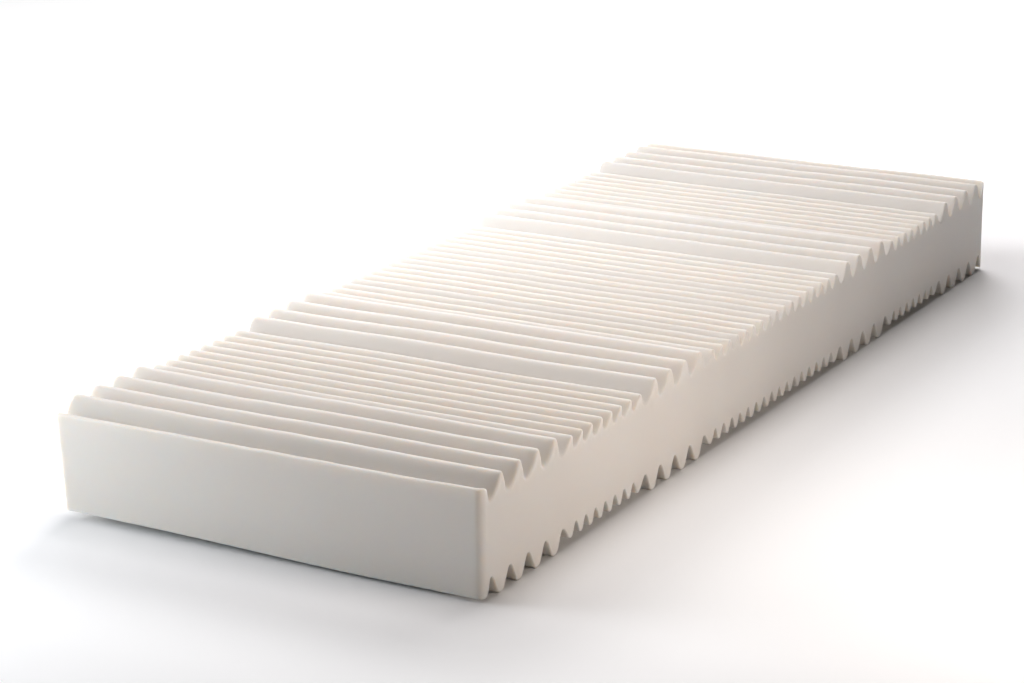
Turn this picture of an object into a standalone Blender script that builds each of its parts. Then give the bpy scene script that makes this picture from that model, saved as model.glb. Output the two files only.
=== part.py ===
"""Pressure relief mattress core: seven zones of transverse foam ribs.

Each zone is a block made of three bonded foam layers: a ribbed upper layer,
a plain core and a ribbed lower layer that mirrors the upper one, except that
the foot end wall reaches farther down than up.  The wide
pelvic zone is split into thigh, seat and two flex blocks, so that the core
can fold at the hip, the thigh and the knee like the deck of a profiling bed.

Frame: origin at the centre of the footprint, on the surface the core lies on.
+Y points to the head end, +X to the side, +Z up.  All lengths are in metres.
"""

import math

import bpy

# Overall size
LENGTH = 2.000
WIDTH = 0.750
THICKNESS = 0.185        # coarse crest to coarse crest
LAYER = 0.060            # a ribbed layer, from its coarse crests to the bond line
GAP = 0.0003             # clearance between neighbouring solids

# Ribs
COARSE_PITCH = 0.0534
FINE_PITCH = 0.0316
ZONE_STEP = 0.0512       # crest to crest where coarse ribs meet fine ribs
END_MARGIN = 0.0520      # outer end face to the nearest crest
VALLEY_DEPTH = 0.0325    # below the coarse crests
FINE_DROP = 0.0110       # fine crests sit this far below the coarse ones
COARSE_LAND = 0.10       # flat share of a coarse rib's half width, at its crest
FINE_LAND = 0.04
VALLEY_LAND = 0.03       # flat share of either rib's half width, in the valley

# End walls: how far each edge is from the plane of the coarse crests beside it
FOOT_WALL_TOP = 0.0150
FOOT_WALL_BOTTOM = 0.0090
HEAD_WALL_TOP = 0.0040
HEAD_WALL_BOTTOM = 0.0040
WALL_EDGE = 0.0070       # width of the wall's edge
WALL_FOOT = 0.0240       # outer face to the valley behind the wall
WALL_CHAMFER = 0.0015

# Zones from foot to head: name, rib kind, number of ribs, moving section
ZONES = (
    ("foot_zone", "coarse", 4, "calf"),
    ("calf_zone", "fine", 8, "calf"),
    ("knee_flex", "coarse", 4, "thigh"),
    ("thigh_zone", "fine", 3, "thigh"),
    ("thigh_flex", "fine", 5, "seat"),
    ("seat_zone", "fine", 3, "seat"),
    ("hip_flex", "fine", 6, "seat"),
    ("lumbar_zone", "coarse", 4, "back"),
    ("shoulder_zone", "fine", 8, "back"),
    ("head_zone", "coarse", 4, "back"),
)

# The flex block in which each moving section hinges
HINGE_BLOCK = {"calf": "knee_flex", "thigh": "thigh_flex", "back": "hip_flex"}
SECTION_PARENT = {"calf": "thigh", "thigh": "seat", "back": "seat", "seat": None}

COARSE_STEPS = (0.10, 0.26, 0.41, 0.56, 0.71, 0.86, 1.0)
FINE_STEPS = (0.04, 0.28, 0.51, 0.75, 1.0)

FOAM_COLOURS = {
    "upper": (0.86, 0.835, 0.79, 1.0),
    "core": (0.85, 0.825, 0.78, 1.0),
    "lower": (0.86, 0.835, 0.79, 1.0),
}
FOAM_ROUGHNESS = 0.95


def clear_scene():
    for obj in list(bpy.data.objects):
        bpy.data.objects.remove(obj, do_unlink=True)


def rib_positions():
    """Crest positions along the core, as (zone index, kind, distance from foot)."""
    pitch = {"coarse": COARSE_PITCH, "fine": FINE_PITCH}
    ribs = []
    y = END_MARGIN
    for index, (_, kind, count, _) in enumerate(ZONES):
        for number in range(count):
            if ribs:
                y += pitch[kind] if ribs[-1][1] == kind else ZONE_STEP
            ribs.append((index, kind, y))
    return ribs


def flank(share, land):
    """Height of a rib, 1 at the crest and 0 in the valley, across its half width."""
    slope = (share - land) / (1.0 - land - VALLEY_LAND)
    return 0.5 + 0.5 * math.cos(math.pi * min(max(slope, 0.0), 1.0))


def rib_outline(kind, left, crest, right):
    """Points over one rib, from its left valley to its right valley."""
    coarse = kind == "coarse"
    steps = COARSE_STEPS if coarse else FINE_STEPS
    land = COARSE_LAND if coarse else FINE_LAND
    valley = THICKNESS - VALLEY_DEPTH
    height = VALLEY_DEPTH if coarse else VALLEY_DEPTH - FINE_DROP
    points = []
    for share in reversed(steps):
        points.append((crest + (left - crest) * share,
                       valley + height * flank(share, land)))
    for share in steps:
        if share > 0.0:
            points.append((crest + (right - crest) * share,
                           valley + height * flank(share, land)))
    return points


def wall_outline(drop):
    """Points over the foot end wall, from its outer face to the valley behind it."""
    top = THICKNESS - drop
    valley = THICKNESS - VALLEY_DEPTH
    points = [(0.0, top - WALL_CHAMFER), (WALL_CHAMFER, top), (WALL_EDGE, top)]
    run = WALL_FOOT - WALL_EDGE
    for share in (0.2, 0.4, 0.6, 0.8, 1.0):
        points.append((WALL_EDGE + run * share,
                       valley + (top - valley) * flank(share, 0.0)))
    return points


def zone_surfaces(foot_drop, head_drop):
    """Top surface of every zone: a list of (y, z) points from foot to head."""
    ribs = rib_positions()
    crests = [y for _, _, y in ribs]
    valleys = [0.5 * (a + b) for a, b in zip(crests, crests[1:])]
    valleys = [WALL_FOOT] + valleys + [LENGTH - WALL_FOOT]
    surfaces = [[] for _ in ZONES]
    for number, (zone, kind, crest) in enumerate(ribs):
        points = rib_outline(kind, valleys[number], crest, valleys[number + 1])
        surface = surfaces[zone]
        surface.extend(points[1:] if surface else points)
    surfaces[0] = wall_outline(foot_drop)[:-1] + surfaces[0]
    mirrored = [(LENGTH - y, z) for y, z in reversed(wall_outline(head_drop)[:-1])]
    surfaces[-1] = surfaces[-1] + mirrored
    return surfaces


def trimmed(surface, first, last):
    """Pull the zone's end points in by half the clearance to its neighbours."""
    points = list(surface)
    if not first:
        points[0] = (points[0][0] + 0.5 * GAP, points[0][1])
    if not last:
        points[-1] = (points[-1][0] - 0.5 * GAP, points[-1][1])
    return points


def foam_material(name, layer):
    material = bpy.data.materials.new(name)
    material.use_nodes = True
    shader = material.node_tree.nodes["Principled BSDF"]
    shader.inputs["Base Color"].default_value = FOAM_COLOURS[layer]
    shader.inputs["Roughness"].default_value = FOAM_ROUGHNESS
    shader.inputs["Metallic"].default_value = 0.0
    material.diffuse_color = FOAM_COLOURS[layer]
    return material


def extruded_block(name, outline, pivot, collection):
    """A solid of the given (y, z) outline, running across the core's full width."""
    curve = bpy.data.curves.new(name, "CURVE")
    curve.dimensions = "2D"
    curve.fill_mode = "BOTH"
    curve.extrude = 0.5 * WIDTH
    spline = curve.splines.new("POLY")
    spline.points.add(len(outline) - 1)
    for point, (y, z) in zip(spline.points, outline):
        point.co = (y - pivot[0], z - pivot[1], 0.0, 1.0)
    spline.use_cyclic_u = True
    block = bpy.data.objects.new(name, curve)
    # The curve's own X runs along the core and its Y runs up
    block.rotation_euler = (0.5 * math.pi, 0.0, 0.5 * math.pi)
    collection.objects.link(block)
    return block


def main():
    clear_scene()
    collection = bpy.data.collections.new("pressure_relief_mattress")
    bpy.context.scene.collection.children.link(collection)

    surfaces = zone_surfaces(FOOT_WALL_TOP, HEAD_WALL_TOP)
    undersides = zone_surfaces(FOOT_WALL_BOTTOM, HEAD_WALL_BOTTOM)
    names = [zone[0] for zone in ZONES]
    half = 0.5 * LENGTH
    middle = 0.5 * THICKNESS

    # Hinge lines lie at mid-thickness, in the middle of their flex blocks
    pivots = {"seat": (half, 0.0)}
    for section, block in HINGE_BLOCK.items():
        surface = surfaces[names.index(block)]
        pivots[section] = (0.5 * (surface[0][0] + surface[-1][0]), middle)

    empties = {}
    for section in ("seat", "thigh", "calf", "back"):
        empty = bpy.data.objects.new(section + "_section", None)
        empty.empty_display_size = 0.1
        collection.objects.link(empty)
        y, z = pivots[section]
        parent = SECTION_PARENT[section]
        if parent is None:
            empty.location = (0.0, y - half, z)
        else:
            empty.parent = empties[parent]
            parent_y, parent_z = pivots[parent]
            empty.location = (0.0, y - parent_y, z - parent_z)
        empties[section] = empty

    low_bond = LAYER
    high_bond = THICKNESS - LAYER
    for index, (zone, _, _, section) in enumerate(ZONES):
        ends = (index == 0, index == len(ZONES) - 1)
        surface = trimmed(surfaces[index], *ends)
        underside = trimmed(undersides[index], *ends)
        start, end = surface[0][0], surface[-1][0]
        outlines = {
            "upper": ([(start, high_bond + 0.5 * GAP)] + surface
                      + [(end, high_bond + 0.5 * GAP)]),
            "core": [(start, low_bond + 0.5 * GAP), (start, high_bond - 0.5 * GAP),
                     (end, high_bond - 0.5 * GAP), (end, low_bond + 0.5 * GAP)],
            "lower": ([(start, low_bond - 0.5 * GAP)]
                      + [(y, THICKNESS - z) for y, z in underside]
                      + [(end, low_bond - 0.5 * GAP)]),
        }
        for layer, outline in outlines.items():
            name = zone + "_" + layer
            block = extruded_block(name, outline, pivots[section], collection)
            block.parent = empties[section]
            block.data.materials.append(foam_material(name + "_foam", layer))


main()
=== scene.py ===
"""Visual model of a pressure relief mattress core: one ribbed foam block.

Each zone of the core is one piece, which stands for the zone's three CAD
layers.  The zones that fold join two sections and are attached to neither.

The foot end faces -Y, the right side faces +X, and the floor is at z = 0.
"""

import math

import bpy
import numpy as np
from mathutils import Matrix, Vector


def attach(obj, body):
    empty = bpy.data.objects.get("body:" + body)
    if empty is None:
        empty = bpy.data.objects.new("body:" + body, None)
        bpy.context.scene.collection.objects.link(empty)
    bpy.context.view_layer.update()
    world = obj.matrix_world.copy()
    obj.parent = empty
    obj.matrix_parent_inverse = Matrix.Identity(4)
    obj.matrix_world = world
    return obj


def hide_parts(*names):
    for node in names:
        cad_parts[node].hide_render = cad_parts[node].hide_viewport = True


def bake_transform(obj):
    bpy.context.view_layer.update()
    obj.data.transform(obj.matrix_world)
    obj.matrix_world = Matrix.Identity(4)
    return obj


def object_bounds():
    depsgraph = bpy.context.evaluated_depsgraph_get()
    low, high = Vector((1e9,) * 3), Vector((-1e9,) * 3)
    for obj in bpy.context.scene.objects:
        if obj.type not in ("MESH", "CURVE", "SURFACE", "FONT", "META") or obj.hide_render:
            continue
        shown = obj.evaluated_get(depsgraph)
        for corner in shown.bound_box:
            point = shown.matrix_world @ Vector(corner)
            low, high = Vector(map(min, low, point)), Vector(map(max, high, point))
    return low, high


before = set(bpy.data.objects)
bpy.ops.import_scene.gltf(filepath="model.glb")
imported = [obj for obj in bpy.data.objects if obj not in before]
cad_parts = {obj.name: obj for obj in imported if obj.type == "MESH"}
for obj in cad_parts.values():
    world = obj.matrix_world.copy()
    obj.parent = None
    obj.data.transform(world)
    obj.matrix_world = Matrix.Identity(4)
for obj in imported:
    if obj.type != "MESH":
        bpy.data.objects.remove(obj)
CAD_LOW, CAD_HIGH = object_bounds()


def direction(azimuth, elevation):
    """Unit vector towards an azimuth from the foot end to +X, and an elevation."""
    azimuth = math.radians(azimuth)
    elevation = math.radians(elevation)
    return Vector((math.sin(azimuth) * math.cos(elevation),
                   -math.cos(azimuth) * math.cos(elevation),
                   math.sin(elevation)))


# ---------------------------------------------------------------- camera

CAMERA_AZIMUTH = 29.87      # degrees
CAMERA_ELEVATION = 17.08
CAMERA_ROLL = -0.75
CAMERA_PLACE = (2.272, -4.210, 1.537)
CAMERA_LENS = 98.96         # mm
SENSOR_WIDTH = 36.0         # mm
CAMERA_REACH = 100.0        # metres


def make_camera():
    azimuth = math.radians(CAMERA_AZIMUTH)
    roll = math.radians(CAMERA_ROLL)
    level = Vector((math.cos(azimuth), math.sin(azimuth), 0.0))
    back = direction(CAMERA_AZIMUTH, CAMERA_ELEVATION)
    upright = back.cross(level)
    right = math.cos(roll) * level + math.sin(roll) * upright
    up = math.cos(roll) * upright - math.sin(roll) * level
    turn = Matrix((right, up, back)).transposed().to_4x4()
    camera = bpy.data.objects.new("camera", bpy.data.cameras.new("camera"))
    camera.data.lens = CAMERA_LENS
    camera.data.sensor_width = SENSOR_WIDTH
    camera.data.clip_end = CAMERA_REACH
    camera.matrix_world = Matrix.Translation(CAMERA_PLACE) @ turn
    bpy.context.scene.collection.objects.link(camera)
    bpy.context.scene.camera = camera


# ---------------------------------------------------------------- sizes

WIDTH = CAD_HIGH.x - CAD_LOW.x
LENGTH = CAD_HIGH.y - CAD_LOW.y
THICKNESS = CAD_HIGH.z - CAD_LOW.z
MIDDLE = 0.5 * THICKNESS

# Ribs and end walls
COARSE_PITCH = 0.0534
FINE_PITCH = 0.0316
ZONE_STEP = 0.0512          # crest to crest where coarse ribs meet fine ribs
END_MARGIN = 0.0520         # outer end face to the nearest crest
VALLEY_DEPTH = 0.0325       # below the coarse crests
FINE_DROP = 0.0110          # fine crests below coarse ones
COARSE_LAND = 0.10          # flat share of a coarse rib's half width, on the crest
FINE_LAND = 0.04
VALLEY_LAND = 0.03          # flat share of either rib's half width, in the valley
FOOT_WALL = (0.0150, 0.0090)        # top and bottom edges, from the crest planes
HEAD_WALL = (0.0040, 0.0040)
WALL_EDGE = 0.0070          # end face to where the wall's top edge begins to fall
WALL_FOOT = 0.0240          # end face to the valley behind the wall

# Rounded edges
EDGE_ROUND = 0.0030         # along the top and bottom edges of the sides
END_ROUND = 0.0025          # round the end faces
CORNER_ROUND = 0.0120       # the two upright edges on the right
LEFT_CORNER_ROUND = 0.0060  # and on the left
CORNER_FADE = 2.5           # they fade out over this many radii along the core

# The left side: it leans out at the top, and its rib ends are round.  Each span
# goes from where an effect begins to where it is full, along y if not said
LEFT_ROUND = 0.0090         # radius of the rib ends
LEFT_ROUND_POWER = 2.5      # how much more the crests are rounded than the flanks
LEFT_LEAN = 0.0085          # how far the top leans out
LEAN_SPAN = (0.30, -0.30)   # across, in widths from the middle
HEAD_LEAN_LOSS = 0.6        # share of the lean that is gone at the head
HEAD_LEAN_SPAN = (0.3, 0.9)
FOOT_FLARE = 0.0050         # how much farther the ribs lean at the foot end
FLARE_SPAN = (-0.45, -0.75)
FLARE_START = 0.035         # it begins over this distance from the foot end

# The right side: the rib flanks are worn back, and the crests lean out
RIGHT_WEAR = 0.0055         # how far the flanks are worn back
RIGHT_ROUND = 0.0220        # over this length of rib
WEAR_LOSS = 0.75            # share of the wear that is gone beyond the foot zones
WEAR_LOSS_SPAN = (-0.75, -0.15)
RIGHT_LEAN = 0.0035         # how far the crests lean out
RIGHT_LEAN_FULL = 0.6       # share of the way up a rib where the lean is full
RIGHT_LEAN_SPAN = (0.4, -0.4)

# The foot wall's edges aren't level.  These spans are along x
WALL_RISE = 0.0040          # the top edge rises at its right end
RISE_SPAN = (0.20, 0.37)
WALL_SAG = 0.0025           # and sags at its left end
SAG_SPAN = (-0.10, -0.37)
WALL_TILT = 0.0045          # the bottom edge is up on the left, down on the right
TILT_SPAN = (-0.35, 0.20)

# Irregularities: axis, height, size of a feature, seed, and whether they fade
# to nothing at the floor
RIPPLES = (
    (0, 0.0007, 0.35, 11, False),
    (1, 0.0008, 0.40, 12, False),
    (2, 0.0007, 0.30, 13, True),
    (2, 0.0003, 0.09, 14, True),
)
RIPPLE_WAVES = 7            # sine waves in each
RIPPLE_SPREAD = (0.6, 1.5)  # their frequencies, as shares of the feature's
RIPPLE_LEVEL = 0.6          # brings the sum to about +-1

# Faces
ARC_STEPS = 6               # segments in a quarter turn of an edge
COARSE_STATIONS = 14        # rows of faces on half a rib
FINE_STATIONS = 9
WALL_STATIONS = 9
SIDE_ROWS = 14
TOP_COLUMNS = 44
EDGE_COLUMNS = (0.0045, 0.0063, 0.0085, 0.0115, 0.0170)     # insets from a side
INNER_MARGIN = 0.026        # side to the evenly spaced columns
SHARP_EDGE = 40.0           # degrees

BOND_FADE = 0.030           # the foam's translucency fades this near a bond

# Name, rib kind, ribs, and the sections at the zone's foot and head ends
ZONES = (
    ("foot_zone", "coarse", 4, "calf_section", "calf_section"),
    ("calf_zone", "fine", 8, "calf_section", "calf_section"),
    ("knee_flex", "coarse", 4, "calf_section", "thigh_section"),
    ("thigh_zone", "fine", 3, "thigh_section", "thigh_section"),
    ("thigh_flex", "fine", 5, "thigh_section", "seat_section"),
    ("seat_zone", "fine", 3, "seat_section", "seat_section"),
    ("hip_flex", "fine", 6, "seat_section", "back_section"),
    ("lumbar_zone", "coarse", 4, "back_section", "back_section"),
    ("shoulder_zone", "fine", 8, "back_section", "back_section"),
    ("head_zone", "coarse", 4, "back_section", "back_section"),
)


# ---------------------------------------------------------------- curves

def ramp(value, start, end):
    """Smooth rise from 0 at start to 1 at end."""
    share = np.clip((value - start) / (end - start), 0.0, 1.0)
    return share * share * (3.0 - 2.0 * share)


def rounded_edge(radius):
    """A rounded edge from one face to the other, as distances from each."""
    turns = [0.5 * math.pi * step / ARC_STEPS for step in range(ARC_STEPS + 1)]
    return [(radius * (1.0 - math.cos(turn)), radius * (1.0 - math.sin(turn)))
            for turn in turns]


def inset_arc(inward, radius):
    """How far a quarter circle falls away, at a distance into its span."""
    inward = np.clip(inward, 0.0, radius)
    return radius - np.sqrt(radius ** 2 - inward ** 2)


def ripple(points, size, seed):
    """Smooth irregularity of about +-1, with features of the given size."""
    random = np.random.default_rng(seed)
    total = np.zeros(len(points))
    for _ in range(RIPPLE_WAVES):
        way = random.normal(size=3)
        way *= ((2.0 * math.pi / size) * random.uniform(*RIPPLE_SPREAD)
                / np.linalg.norm(way))
        total += np.sin(points @ way + random.uniform(0.0, 2.0 * math.pi))
    return total / math.sqrt(0.5 * RIPPLE_WAVES) * RIPPLE_LEVEL


# ---------------------------------------------------------------- ribs

def rib_rows():
    """Crests and valleys along the core, as distances from the foot end."""
    pitch = {"coarse": COARSE_PITCH, "fine": FINE_PITCH}
    crests, kinds, zones = [], [], []
    place = END_MARGIN
    for zone, (_, kind, count, _, _) in enumerate(ZONES):
        for _ in range(count):
            if kinds:
                place += pitch[kind] if kinds[-1] == kind else ZONE_STEP
            crests.append(place)
            kinds.append(kind)
            zones.append(zone)
    valleys = [WALL_FOOT]
    valleys += [0.5 * (crest + following)
                for crest, following in zip(crests, crests[1:])]
    valleys.append(LENGTH - WALL_FOOT)
    return crests, kinds, zones, valleys


CRESTS, KINDS, RIB_ZONES, VALLEYS = rib_rows()
RIB_SIZES = [1.0 if kind == "coarse" else FINE_PITCH / COARSE_PITCH
             for kind in KINDS]


def flank(share, land):
    """Height across half a rib: 1 at the crest, 0 in the valley."""
    slope = np.clip((share - land) / (1.0 - land - VALLEY_LAND), 0.0, 1.0)
    return 0.5 + 0.5 * np.cos(math.pi * slope)


def rib_height(kind, share):
    """Height of the surface above mid-thickness, across half a rib."""
    coarse = kind == "coarse"
    amount = VALLEY_DEPTH if coarse else VALLEY_DEPTH - FINE_DROP
    land = COARSE_LAND if coarse else FINE_LAND
    return MIDDLE - VALLEY_DEPTH + amount * flank(share, land)


def wall_stations(drops):
    """Rows over an end wall: distance from its face, inset, height and depth."""
    edges = MIDDLE - np.array(drops)
    valley = MIDDLE - VALLEY_DEPTH
    rows = [(place, inset, *edges) for place, inset in rounded_edge(END_ROUND)]
    rows.append((0.5 * (END_ROUND + WALL_EDGE), 0.0, *edges))
    run = WALL_FOOT - WALL_EDGE
    for share in np.linspace(0.0, 1.0, WALL_STATIONS + 1)[:-1]:
        heights = valley + (edges - valley) * float(flank(share, 0.0))
        rows.append((WALL_EDGE + run * share, 0.0, *heights))
    return rows


def rib_stations(number):
    """Rows over a rib, from the valley before it to the valley behind it."""
    kind = KINDS[number]
    steps = COARSE_STATIONS if kind == "coarse" else FINE_STATIONS
    crest = CRESTS[number]
    shares = np.linspace(0.0, 1.0, steps + 1)
    halves = ((VALLEYS[number], shares[::-1]), (VALLEYS[number + 1], shares[1:]))
    rows = []
    for valley, half in halves:
        for share in half:
            height = float(rib_height(kind, share))
            rows.append((crest + (valley - crest) * share, 0.0, height, height))
    return rows


def zone_stations(zone):
    """Rows along a zone: world y, inset of the whole section, height and depth."""
    rows = []
    if zone == 0:
        rows += wall_stations(FOOT_WALL)
    numbers = [number for number, owner in enumerate(RIB_ZONES) if owner == zone]
    for number in numbers:
        # Two ribs share the row in the valley between them
        first = 0 if number == numbers[0] else 1
        rows += rib_stations(number)[first:]
    if zone == len(ZONES) - 1:
        rows += [(LENGTH - place, *rest)
                 for place, *rest in reversed(wall_stations(HEAD_WALL))]
    rows = np.array(rows)
    rows[:, 0] += CAD_LOW.y
    return rows


# ---------------------------------------------------------------- sections

def top_columns():
    """Columns across the top, from corner to corner: x and drop from the top."""
    half = 0.5 * WIDTH
    corner = rounded_edge(EDGE_ROUND)[ARC_STEPS // 2:]
    corner += [(inset, 0.0) for inset in EDGE_COLUMNS]
    inner = np.linspace(INNER_MARGIN, WIDTH - INNER_MARGIN, TOP_COLUMNS)
    columns = [(-half + inset, drop) for inset, drop in corner]
    columns += [(-half + place, 0.0) for place in inner]
    columns += [(half - inset, drop) for inset, drop in reversed(corner)]
    return np.array(columns)


def side_rows():
    """Rows down a side, from corner to corner.

    Each is an inset from the side, a share of the way from the upper edge to
    the lower one, and a shift from there.
    """
    corner = rounded_edge(EDGE_ROUND)[ARC_STEPS // 2::-1]
    turns = math.pi * np.linspace(0.0, 1.0, SIDE_ROWS + 1)[1:-1]
    shares = [0.5 - 0.5 * math.cos(turn) for turn in turns]
    rows = [(inset, 0.0, -drop) for inset, drop in corner]
    rows += [(0.0, share, EDGE_ROUND * (2.0 * share - 1.0)) for share in shares]
    rows += [(inset, 1.0, drop) for inset, drop in reversed(corner)]
    return np.array(rows)


def section_loop(inset, height, depth, columns, rows):
    """One cross-section of the core, clockwise from the upper left corner."""
    squeeze = 1.0 - inset / (0.5 * WIDTH)
    high, low = height - inset, inset - depth
    top_x = columns[:, 0] * squeeze
    top_z = high - columns[:, 1]
    bottom_z = low + columns[:, 1]
    side_x = (0.5 * WIDTH - rows[:, 0]) * squeeze
    side_z = high + (low - high) * rows[:, 1] + rows[:, 2]
    loop = [np.stack((top_x, top_z), 1)[:-1],
            np.stack((side_x, side_z), 1)[:-1],
            np.stack((top_x, bottom_z), 1)[:0:-1],
            np.stack((-side_x, side_z), 1)[:0:-1]]
    return np.concatenate(loop)


def section_loops(stations, columns, rows):
    """The cross-section at each station, as points in the world."""
    loops = []
    for place, inset, height, depth in stations:
        loop = section_loop(inset, height, depth, columns, rows)
        loops.append(np.stack((loop[:, 0], np.full(len(loop), place),
                               loop[:, 1] + MIDDLE), 1))
    return np.array(loops)


# ---------------------------------------------------------------- wear and lean

def rib_rise(z):
    """Share of the way up from the valleys on top to the coarse crests."""
    return np.clip((z - THICKNESS) / VALLEY_DEPTH + 1.0, 0.0, 1.0)


def round_left_ends(shift, x, y, z):
    """The rib ends are round on the left, most of all on the coarse crests."""
    reach = LEFT_ROUND - (x + 0.5 * WIDTH)
    shift[:, 2] -= rib_rise(z) ** LEFT_ROUND_POWER * inset_arc(reach, LEFT_ROUND)


def lean_left_side(shift, x, y, z):
    """The left side leans out at the top."""
    flare = ramp(y, *FLARE_SPAN) * ramp(y + 0.5 * LENGTH, 0.0, FLARE_START)
    lean = LEFT_LEAN * (1.0 - HEAD_LEAN_LOSS * ramp(y, *HEAD_LEAN_SPAN))
    shift[:, 0] -= ((lean + FOOT_FLARE * flare) * ramp(z, 0.0, THICKNESS)
                    * ramp(x / WIDTH, *LEAN_SPAN))


def wear_right_ends(shift, x, y, z):
    """The right ends of the valleys are worn wider and deeper."""
    place = y + 0.5 * LENGTH
    turns = np.interp(place, sorted(CRESTS + VALLEYS),
                      0.5 * np.arange(len(CRESTS) + len(VALLEYS)))
    wear = (RIGHT_WEAR * np.interp(place, CRESTS, RIB_SIZES)
            * inset_arc(x - 0.5 * WIDTH + RIGHT_ROUND, RIGHT_ROUND) / RIGHT_ROUND
            * ramp(z, MIDDLE, THICKNESS - VALLEY_DEPTH)
            * (1.0 - WEAR_LOSS * ramp(y, *WEAR_LOSS_SPAN)))
    shift[:, 1] += wear * np.sin(2.0 * math.pi * turns)
    shift[:, 2] -= (wear * (0.5 + 0.5 * np.cos(2.0 * math.pi * turns))
                    * ramp(place, 0.5 * WALL_FOOT, WALL_FOOT))


def lean_right_crests(shift, x, y, z):
    """The crests on the right lean out."""
    place = y + 0.5 * LENGTH
    shift[:, 0] += (RIGHT_LEAN * ramp(rib_rise(z), 0.0, RIGHT_LEAN_FULL)
                    * ramp(x, 0.0, 0.5 * WIDTH)
                    * ramp(place, 0.5 * WALL_FOOT, 1.5 * WALL_FOOT)
                    * ramp(y, *RIGHT_LEAN_SPAN))


def round_upright_edges(shift, x, y, z):
    radius = np.where(x > 0.0, CORNER_ROUND, LEFT_CORNER_ROUND)
    arc = inset_arc(np.abs(x) - 0.5 * WIDTH + radius, radius)
    inside = (0.5 * LENGTH - np.abs(y)) / (CORNER_FADE * radius)
    shift[:, 1] -= np.sign(y) * arc * np.clip(1.0 - inside, 0.0, 1.0) ** 2


def bend_foot_wall(shift, x, y, z):
    """The foot wall's top edge rises and sags, and its bottom edge tilts."""
    height = z / THICKNESS
    wall = ramp(y + 0.5 * LENGTH, WALL_FOOT, 0.0)
    shift[:, 2] += wall * height ** 2 * (WALL_RISE * ramp(x, *RISE_SPAN)
                                         - WALL_SAG * ramp(x, *SAG_SPAN))
    shift[:, 2] += (wall * (1.0 - height) ** 2
                    * WALL_TILT * (1.0 - 2.0 * ramp(x, *TILT_SPAN)))


def settle(points):
    """Take the core off square, as cutting and handling leave it."""
    shift = np.zeros_like(points)
    for change in (round_left_ends, lean_left_side, wear_right_ends,
                   lean_right_crests, round_upright_edges, bend_foot_wall):
        change(shift, *points.T)
    lift = np.clip(points[:, 2] / THICKNESS, 0.0, 1.0)
    for axis, amount, size, seed, fades in RIPPLES:
        wave = amount * ripple(points, size, seed)
        shift[:, axis] += wave * lift if fades else wave
    return points + shift


# ---------------------------------------------------------------- mesh

def cap_points(loop, across, down):
    """Inner points of a grid that is stretched over a closed loop of points."""
    top = loop[:across]
    right = loop[across - 1:across + down - 1]
    bottom = loop[across + down - 2:2 * across + down - 2][::-1]
    left = np.concatenate((loop[2 * across + down - 3:], loop[:1]))[::-1]
    rightward = np.linspace(0.0, 1.0, across)[None, :, None]
    downward = np.linspace(0.0, 1.0, down)[:, None, None]
    leftward = 1.0 - rightward
    upward = 1.0 - downward
    grid = (upward * top[None] + downward * bottom[None]
            + leftward * left[:, None] + rightward * right[:, None]
            - leftward * upward * top[0] - rightward * upward * top[-1]
            - leftward * downward * bottom[0] - rightward * downward * bottom[-1])
    return grid[1:-1, 1:-1].reshape(-1, 3)


def cap_faces(base, inner, ring, across, down):
    """Faces of that grid.  Its rim starts at point base, its inside at inner."""
    index = np.empty((down, across), int)
    count = (down - 2) * (across - 2)
    index[1:-1, 1:-1] = (inner + np.arange(count)).reshape(down - 2, across - 2)
    index[0] = base + np.arange(across)
    index[:, -1] = base + across - 1 + np.arange(down)
    index[-1] = base + (across + down - 2 + np.arange(across))[::-1]
    index[:, 0] = base + ((2 * across + down - 3 + np.arange(down)) % ring)[::-1]
    corners = (index[:-1, :-1], index[1:, :-1], index[1:, 1:], index[:-1, 1:])
    return np.stack(corners, 2).reshape(-1, 4)


def skin_faces(count, ring):
    """Faces between each cross-section and the next."""
    here = np.arange(ring)
    after = np.roll(here, -1)
    faces = []
    for start in ring * np.arange(count - 1):
        end = start + ring
        faces.append(np.stack((start + here, start + after,
                               end + after, end + here), 1))
    return faces


def bond_reach(zone, stations, y):
    """How freely light spreads at each y: not at a bond, fully away from it."""
    bonds = []
    if zone > 0:
        bonds.append(stations[0, 0])
    if zone < len(ZONES) - 1:
        bonds.append(stations[-1, 0])
    away = np.min([np.abs(y - bond) for bond in bonds], axis=0)
    return ramp(away, 0.0, BOND_FADE)


def zone_mesh(zone):
    columns, rows = top_columns(), side_rows()
    across, down = len(columns), len(rows)
    stations = zone_stations(zone)
    loops = section_loops(stations, columns, rows)
    count, ring = loops.shape[:2]
    foot_cap = cap_points(loops[0], across, down)
    head_cap = cap_points(loops[-1], across, down)
    first = count * ring
    second = first + len(foot_cap)
    points = settle(np.concatenate((loops.reshape(-1, 3), foot_cap, head_cap)))
    faces = skin_faces(count, ring)
    faces.append(cap_faces(0, first, ring, across, down))
    faces.append(cap_faces(first - ring, second, ring, across, down)[:, ::-1])

    mesh = bpy.data.meshes.new(ZONES[zone][0])
    mesh.from_pydata(points.tolist(), [], np.concatenate(faces).tolist())
    mesh.validate()
    for polygon in mesh.polygons:
        polygon.use_smooth = True
    mesh.set_sharp_from_angle(angle=math.radians(SHARP_EDGE))
    mesh.update()
    reach = mesh.attributes.new("bond_reach", "FLOAT", "POINT")
    reach.data.foreach_set("value", bond_reach(zone, stations, points[:, 1]))
    return mesh


# ---------------------------------------------------------------- foam

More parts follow.
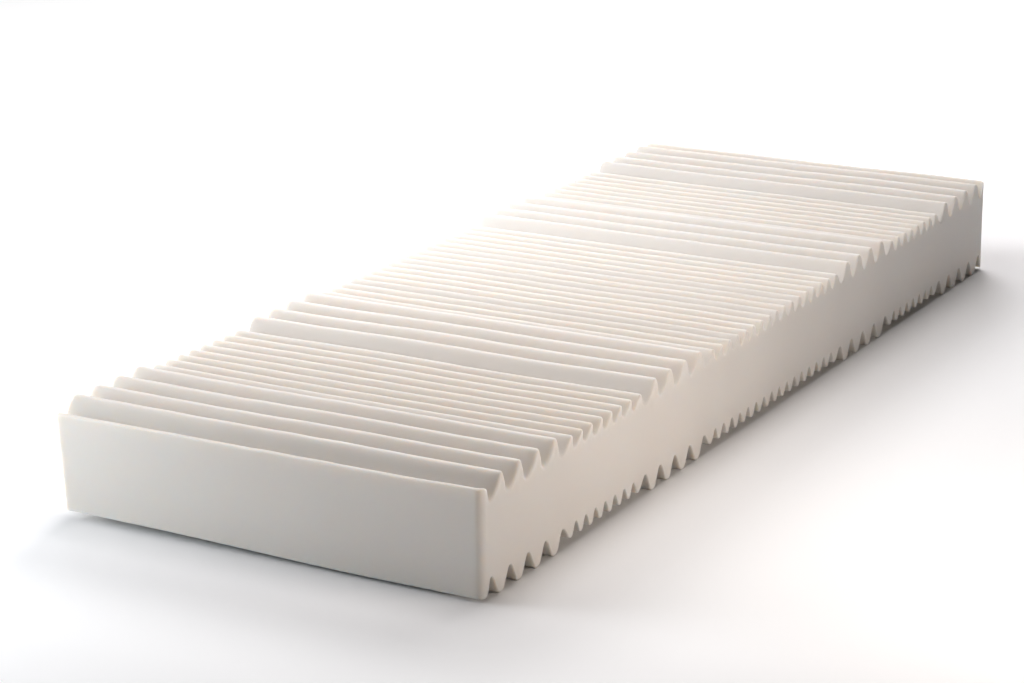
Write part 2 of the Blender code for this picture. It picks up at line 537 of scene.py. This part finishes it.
FOAM_LIGHT = (0.77, 0.735, 0.69)
FOAM_WARM = (0.75, 0.71, 0.66)
FOAM_RADIUS = (1.0, 0.85, 0.70)     # how far red, green and blue light spread
FOAM_SCALE = 0.014                  # metres, for red
CLOUD_SCALE = 7.0                   # clouds of tone to the metre
CELL_SIZE = 0.0008
PORE_PAINTED_SHADE = 0.97                   # brightness in the middle of a cell, painted shade in the pore
CELL_EDGE = 0.7                     # how far out, in cells, it is back to 1
LINES = (9.0, 420.0, 420.0)         # wire lines to the metre along x, y and z
LINE_WEIGHT = 0.6                   # depth of the lines against that of the cells
BUMP_STRENGTH = 0.35
BUMP_DEPTH = 0.00012


def link(tree, source, output, target, socket):
    tree.links.new(source.outputs[output], target.inputs[socket])


def foam_tone(tree, place):
    """Slight difference in tone from place to place, as in any poured foam."""
    clouds = tree.nodes.new("ShaderNodeTexNoise")
    clouds.inputs["Scale"].default_value = CLOUD_SCALE
    clouds.inputs["Detail"].default_value = 3.0
    link(tree, place, "Object", clouds, "Vector")
    tone = tree.nodes.new("ShaderNodeMix")
    tone.data_type = "RGBA"
    tone.inputs["A"].default_value = (*FOAM_LIGHT, 1.0)
    tone.inputs["B"].default_value = (*FOAM_WARM, 1.0)
    link(tree, clouds, "Fac", tone, "Factor")
    return tone


def foam_pore_shade(tree, cells, tone):
    """The tone, with painted shade in the middle of each cell, where the pore is hollow."""
    pore_shade = tree.nodes.new("ShaderNodeMapRange")
    pore_shade.inputs["From Min"].default_value = 0.0
    pore_shade.inputs["From Max"].default_value = CELL_EDGE
    pore_shade.inputs["To Min"].default_value = PORE_PAINTED_SHADE
    pore_shade.inputs["To Max"].default_value = 1.0
    link(tree, cells, "Distance", pore_shade, "Value")
    pore_shaded = tree.nodes.new("ShaderNodeVectorMath")
    pore_shaded.operation = "SCALE"
    link(tree, tone, "Result", pore_shaded, "Vector")
    link(tree, pore_shade, "Result", pore_shaded, "Scale")
    return pore_shaded


def foam_bump(tree, place, cells):
    """The cells, and the faint lines that the wire leaves along the ribs."""
    stretch = tree.nodes.new("ShaderNodeMapping")
    stretch.inputs["Scale"].default_value = LINES
    link(tree, place, "Object", stretch, "Vector")
    lines = tree.nodes.new("ShaderNodeTexNoise")
    lines.inputs["Scale"].default_value = 1.0
    lines.inputs["Detail"].default_value = 2.0
    link(tree, stretch, "Vector", lines, "Vector")
    relief = tree.nodes.new("ShaderNodeMath")
    relief.operation = "MULTIPLY_ADD"
    relief.inputs[1].default_value = LINE_WEIGHT
    link(tree, lines, "Fac", relief, 0)
    link(tree, cells, "Distance", relief, 2)
    bump = tree.nodes.new("ShaderNodeBump")
    bump.inputs["Strength"].default_value = BUMP_STRENGTH
    bump.inputs["Distance"].default_value = BUMP_DEPTH
    link(tree, relief, "Value", bump, "Height")
    return bump


def foam_material():
    """Open-cell foam: light bleeds through it, and pores show from close by, as bumps with
    painted shade in them.
    """
    material = bpy.data.materials.new("cut_foam")
    material.use_nodes = True
    tree = material.node_tree
    shader = tree.nodes["Principled BSDF"]
    shader.inputs["Roughness"].default_value = 0.95
    shader.inputs["Specular IOR Level"].default_value = 0.15
    shader.inputs["Subsurface Radius"].default_value = FOAM_RADIUS
    shader.inputs["Subsurface Scale"].default_value = FOAM_SCALE
    shader.inputs["Sheen Weight"].default_value = 0.08
    shader.inputs["Sheen Roughness"].default_value = 0.5

    place = tree.nodes.new("ShaderNodeTexCoord")
    cells = tree.nodes.new("ShaderNodeTexVoronoi")
    cells.inputs["Scale"].default_value = 1.0 / CELL_SIZE
    link(tree, place, "Object", cells, "Vector")
    # Painted shade darkens the middle of each pore
    colour = foam_pore_shade(tree, cells, foam_tone(tree, place))
    link(tree, colour, "Vector", shader, "Base Color")
    link(tree, foam_bump(tree, place, cells), "Normal", shader, "Normal")

    # Light can't spread past a bond between two pieces, so it spreads less there
    reach = tree.nodes.new("ShaderNodeAttribute")
    reach.attribute_name = "bond_reach"
    link(tree, reach, "Fac", shader, "Subsurface Weight")
    return material


# ---------------------------------------------------------------- studio

FLOOR_REACH = 40.0
FLOOR_COLOUR = (0.92, 0.92, 0.92, 1.0)
# Painted light on the floor: it glows in rings round the core, dim close to
# it as a painted shadow and bright farther out as painted light.  Distance
# from the core where each begins and where it is full, and strength
FLOOR_PAINTED_GLOWS = (
    (0.04, 0.36, 0.20),
    (0.50, 1.30, 0.20),
    (1.50, 3.00, 0.40),
)

# Square soft boxes: name, place, the point that each faces, width, power in
# watts, spread in degrees, and colour
SOFT_BOXES = (
    ("left_foot", (-2.2, -1.5, 0.8), (0.0, -0.9, 0.1), 1.0, 35.5, 180.0, (0.97, 0.96, 1.0)),
    ("left_low", (-1.2, 0.0, 0.9), (-0.1, 0.7, 0.1), 0.6, 5.0, 180.0, (0.87, 0.93, 1.0)),
    ("left_over", (-0.6, 0.0, 0.9), (-0.1, 0.7, 0.1), 0.6, 2.6, 180.0, (0.87, 0.93, 1.0)),
    ("head_left_over", (-1.2, 2.0, 2.0), (-0.18, 1.2, 0.1), 1.2, 19.5, 180.0, (1.0, 0.98, 1.0)),
    ("middle_over", (0.0, -0.5, 2.0), (0.0, -0.3, 0.1), 1.2, 19.5, 180.0, (1.0, 0.97, 0.97)),
    ("head_over", (0.0, 2.0, 2.0), (0.0, 1.2, 0.1), 1.2, 9.5, 180.0, (1.0, 0.94, 0.93)),
    ("foot_left", (-0.9, -1.6, 0.35), (-0.35, -1.0, 0.1), 0.4, 3.7, 180.0, (0.82, 0.94, 1.0)),
    ("right_low", (1.6, -0.6, 0.5), (0.37, -0.5, 0.04), 0.6, 2.75, 110.0, (1.0, 0.88, 0.79)),
    ("head_left", (-1.2, 3.4, 1.3), (0.0, 0.6, 0.1), 1.2, 50.0, 180.0, (1.0, 0.97, 1.0)),
)

# Distant soft light from the head end
SKY_AZIMUTH = 180.0         # degrees, like the next two
SKY_ELEVATION = 35.0
SKY_ANGLE = 25.0            # how wide it looks
SKY_STRENGTH = 0.40         # watts a square metre
SKY_DISTANCE = 5.0          # where the lamp stands, which changes nothing


def distance_from_core(tree):
    """Distance on the floor from the core's outline."""
    place = tree.nodes.new("ShaderNodeTexCoord")
    quarter = tree.nodes.new("ShaderNodeVectorMath")
    quarter.operation = "ABSOLUTE"
    link(tree, place, "Object", quarter, "Vector")
    beyond = tree.nodes.new("ShaderNodeVectorMath")
    beyond.operation = "SUBTRACT"
    beyond.inputs[1].default_value = (0.5 * WIDTH, 0.5 * LENGTH, 0.0)
    link(tree, quarter, "Vector", beyond, 0)
    outside = tree.nodes.new("ShaderNodeVectorMath")
    outside.operation = "MAXIMUM"
    outside.inputs[1].default_value = (0.0, 0.0, 0.0)
    link(tree, beyond, "Vector", outside, 0)
    away = tree.nodes.new("ShaderNodeVectorMath")
    away.operation = "LENGTH"
    link(tree, outside, "Vector", away, "Vector")
    return away


def floor_material():
    paint = bpy.data.materials.new("floor")
    paint.use_nodes = True
    tree = paint.node_tree
    shader = tree.nodes["Principled BSDF"]
    shader.inputs["Base Color"].default_value = FLOOR_COLOUR
    shader.inputs["Roughness"].default_value = 0.9
    shader.inputs["Specular IOR Level"].default_value = 0.0
    shader.inputs["Emission Color"].default_value = (1.0, 1.0, 1.0, 1.0)

    # Each ring's sum goes into the one before it, and the first into the shader
    # Painted shadow round the core and painted light beyond it, as floor glow set by distance
    # from the core
    away = distance_from_core(tree)
    total = shader.inputs["Emission Strength"]
    for begins, full, strength in FLOOR_PAINTED_GLOWS:
        painted_glow = tree.nodes.new("ShaderNodeMapRange")
        painted_glow.interpolation_type = "SMOOTHSTEP"
        painted_glow.inputs["From Min"].default_value = begins
        painted_glow.inputs["From Max"].default_value = full
        painted_glow.inputs["To Max"].default_value = strength
        link(tree, away, "Value", painted_glow, "Value")
        add = tree.nodes.new("ShaderNodeMath")
        add.operation = "ADD"
        add.inputs[1].default_value = 0.0
        link(tree, painted_glow, "Result", add, 0)
        tree.links.new(add.outputs["Value"], total)
        total = add.inputs[1]
    return paint


def make_world():
    """A white world that the camera sees, and that gives no light."""
    world = bpy.data.worlds.new("studio")
    world.use_nodes = True
    background = world.node_tree.nodes["Background"]
    background.inputs["Color"].default_value = (1.0, 1.0, 1.0, 1.0)
    background.inputs["Strength"].default_value = 1.0
    rays = world.cycles_visibility
    rays.diffuse = False
    rays.glossy = False
    rays.transmission = False
    rays.scatter = False
    bpy.context.scene.world = world


def make_floor():
    mesh = bpy.data.meshes.new("floor")
    edge = FLOOR_REACH
    corners = [(-edge, -edge, 0), (edge, -edge, 0), (edge, edge, 0), (-edge, edge, 0)]
    mesh.from_pydata(corners, [], [(0, 1, 2, 3)])
    floor = bpy.data.objects.new("floor", mesh)
    bpy.context.scene.collection.objects.link(floor)
    mesh.materials.append(floor_material())


def add_light(name, lamp, place, way):
    light = bpy.data.objects.new(name, lamp)
    light.location = place
    light.rotation_mode = "QUATERNION"
    light.rotation_quaternion = way.to_track_quat("-Z", "Y")
    light.visible_camera = False
    bpy.context.scene.collection.objects.link(light)


def make_lights():
    for name, place, aim, width, power, spread, colour in SOFT_BOXES:
        lamp = bpy.data.lights.new(name, "AREA")
        lamp.shape = "SQUARE"
        lamp.size = width
        lamp.energy = power
        lamp.color = colour
        lamp.spread = math.radians(spread)
        add_light(name, lamp, place, Vector(aim) - Vector(place))
    lamp = bpy.data.lights.new("head_sky", "SUN")
    lamp.energy = SKY_STRENGTH
    lamp.angle = math.radians(SKY_ANGLE)
    towards = direction(SKY_AZIMUTH, SKY_ELEVATION)
    add_light("head_sky", lamp, SKY_DISTANCE * towards, -towards)


def make_studio():
    bpy.context.scene.view_settings.view_transform = "Standard"
    make_world()
    make_floor()
    make_lights()


# ---------------------------------------------------------------- build

def build_core():
    foam = foam_material()
    for zone, (name, _, _, foot_body, head_body) in enumerate(ZONES):
        piece = bpy.data.objects.new(name, zone_mesh(zone))
        bpy.context.scene.collection.objects.link(piece)
        piece.data.materials.append(foam)
        if foot_body == head_body:
            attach(piece, foot_body)
        else:
            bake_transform(piece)
        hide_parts(name + "_upper", name + "_core", name + "_lower")


make_camera()
make_studio()
build_core()
